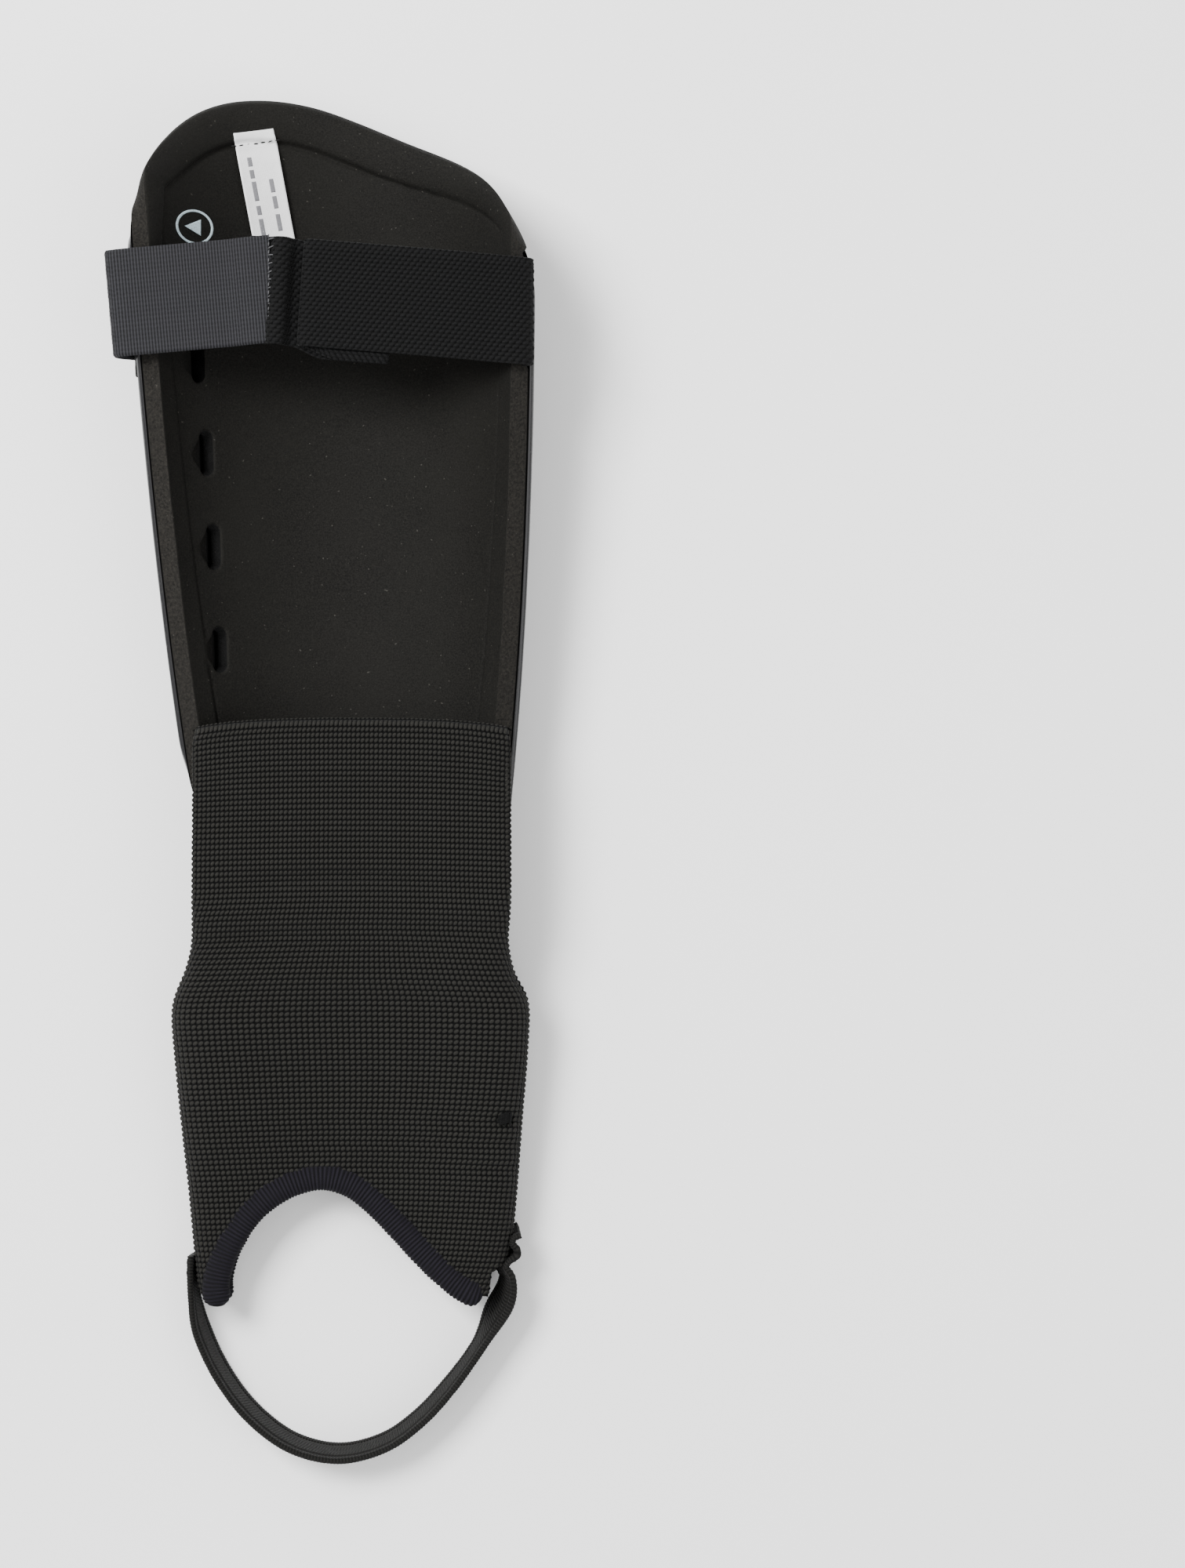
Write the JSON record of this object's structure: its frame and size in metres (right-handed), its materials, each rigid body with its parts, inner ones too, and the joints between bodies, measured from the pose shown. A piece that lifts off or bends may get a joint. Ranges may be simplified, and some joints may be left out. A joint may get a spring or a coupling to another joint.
{
  "type": "shin guard",
  "caption": "Ankle shin guard: bowed hard shell with a foam liner, a calf strap with a hook tab, a knitted ankle sleeve with pads, and a stirrup band.",
  "frame": {"origin": "centre of the bounding box in plan, on the surface that the front of the shell lies on", "axes": "+Y towards the knee end, +X towards the inner side of the left leg, +Z towards the leg side"},
  "size_m": [0.1198, 0.3907, 0.0484],
  "materials": {
    "shell": "glossy injection-moulded polypropylene, near black",
    "foam_backing": "matt closed-cell EVA foam, dark olive charcoal",
    "loop_patch": "black loop pile",
    "elastic": "black loop-faced elastic",
    "hook_tape": "slate grey ribbed hook tape",
    "label": "white satin ribbon",
    "thread": "black sewing thread",
    "pale_thread": "pale grey sewing thread",
    "print": "pale blue-grey pad print",
    "knit": "thick charcoal elastic knit",
    "pad_foam": "soft foam",
    "lining": "smooth black lining knit",
    "binding": "dark navy overlock thread"
  },
  "bodies": {
    "guard": {"shell": "shell", "foam_backing": "foam_backing", "loop_patch": "loop_patch", "strap_anchor_tail": "elastic", "size_label": "label", "label_stitching": "thread", "side_mark": "print", "sleeve_cuff_back": "knit", "sleeve_cuff_front": "knit", "cuff_hem": "knit", "sleeve_seam_stitching": "thread"},
    "calf_strap": {"strap_elastic": "elastic", "hook_tape": "hook_tape", "strap_seam_stitching": "pale_thread"},
    "hook_tab": {"hook_tab": "hook_tape"},
    "ankle_sleeve": {"sleeve_back_panel": "knit", "sleeve_front_panel": "knit", "inner_ankle_pad": "pad_foam", "outer_ankle_pad": "pad_foam", "inner_pad_lining": "lining", "outer_pad_lining": "lining", "back_arch_binding": "binding", "front_arch_binding": "binding", "pad_tack": "thread"},
    "stirrup": {"stirrup_strap": "elastic", "stirrup_stitching": "thread"}
  },
  "joints": [
    {"name": "strap_hinge", "type": "hinge", "parent": "guard", "child": "calf_strap", "pos_m": [0.0582, 0.133, 0.042], "axis": [0, 1, 0], "range_deg": [0, 75]},
    {"name": "tab_peel", "type": "hinge", "parent": "calf_strap", "child": "hook_tab", "pos_m": [-0.0574, 0.1352, 0.0451], "axis": [0, 1, 0], "range_deg": [0, 112.5]},
    {"name": "sleeve_fold", "type": "hinge", "parent": "guard", "child": "ankle_sleeve", "pos_m": [0.0078, -0.03, 0.0326], "axis": [-1, 0, 0], "range_deg": [0, 75]},
    {"name": "stirrup_swing", "type": "hinge", "parent": "ankle_sleeve", "child": "stirrup", "pos_m": [0.0078, -0.14, 0.0075], "axis": [-1, 0, 0], "range_deg": [0, 80]}
  ],
  "couplings": [
    {"joint": "tab_peel", "follows": "strap_hinge", "ratio": 1.5}
  ]
}
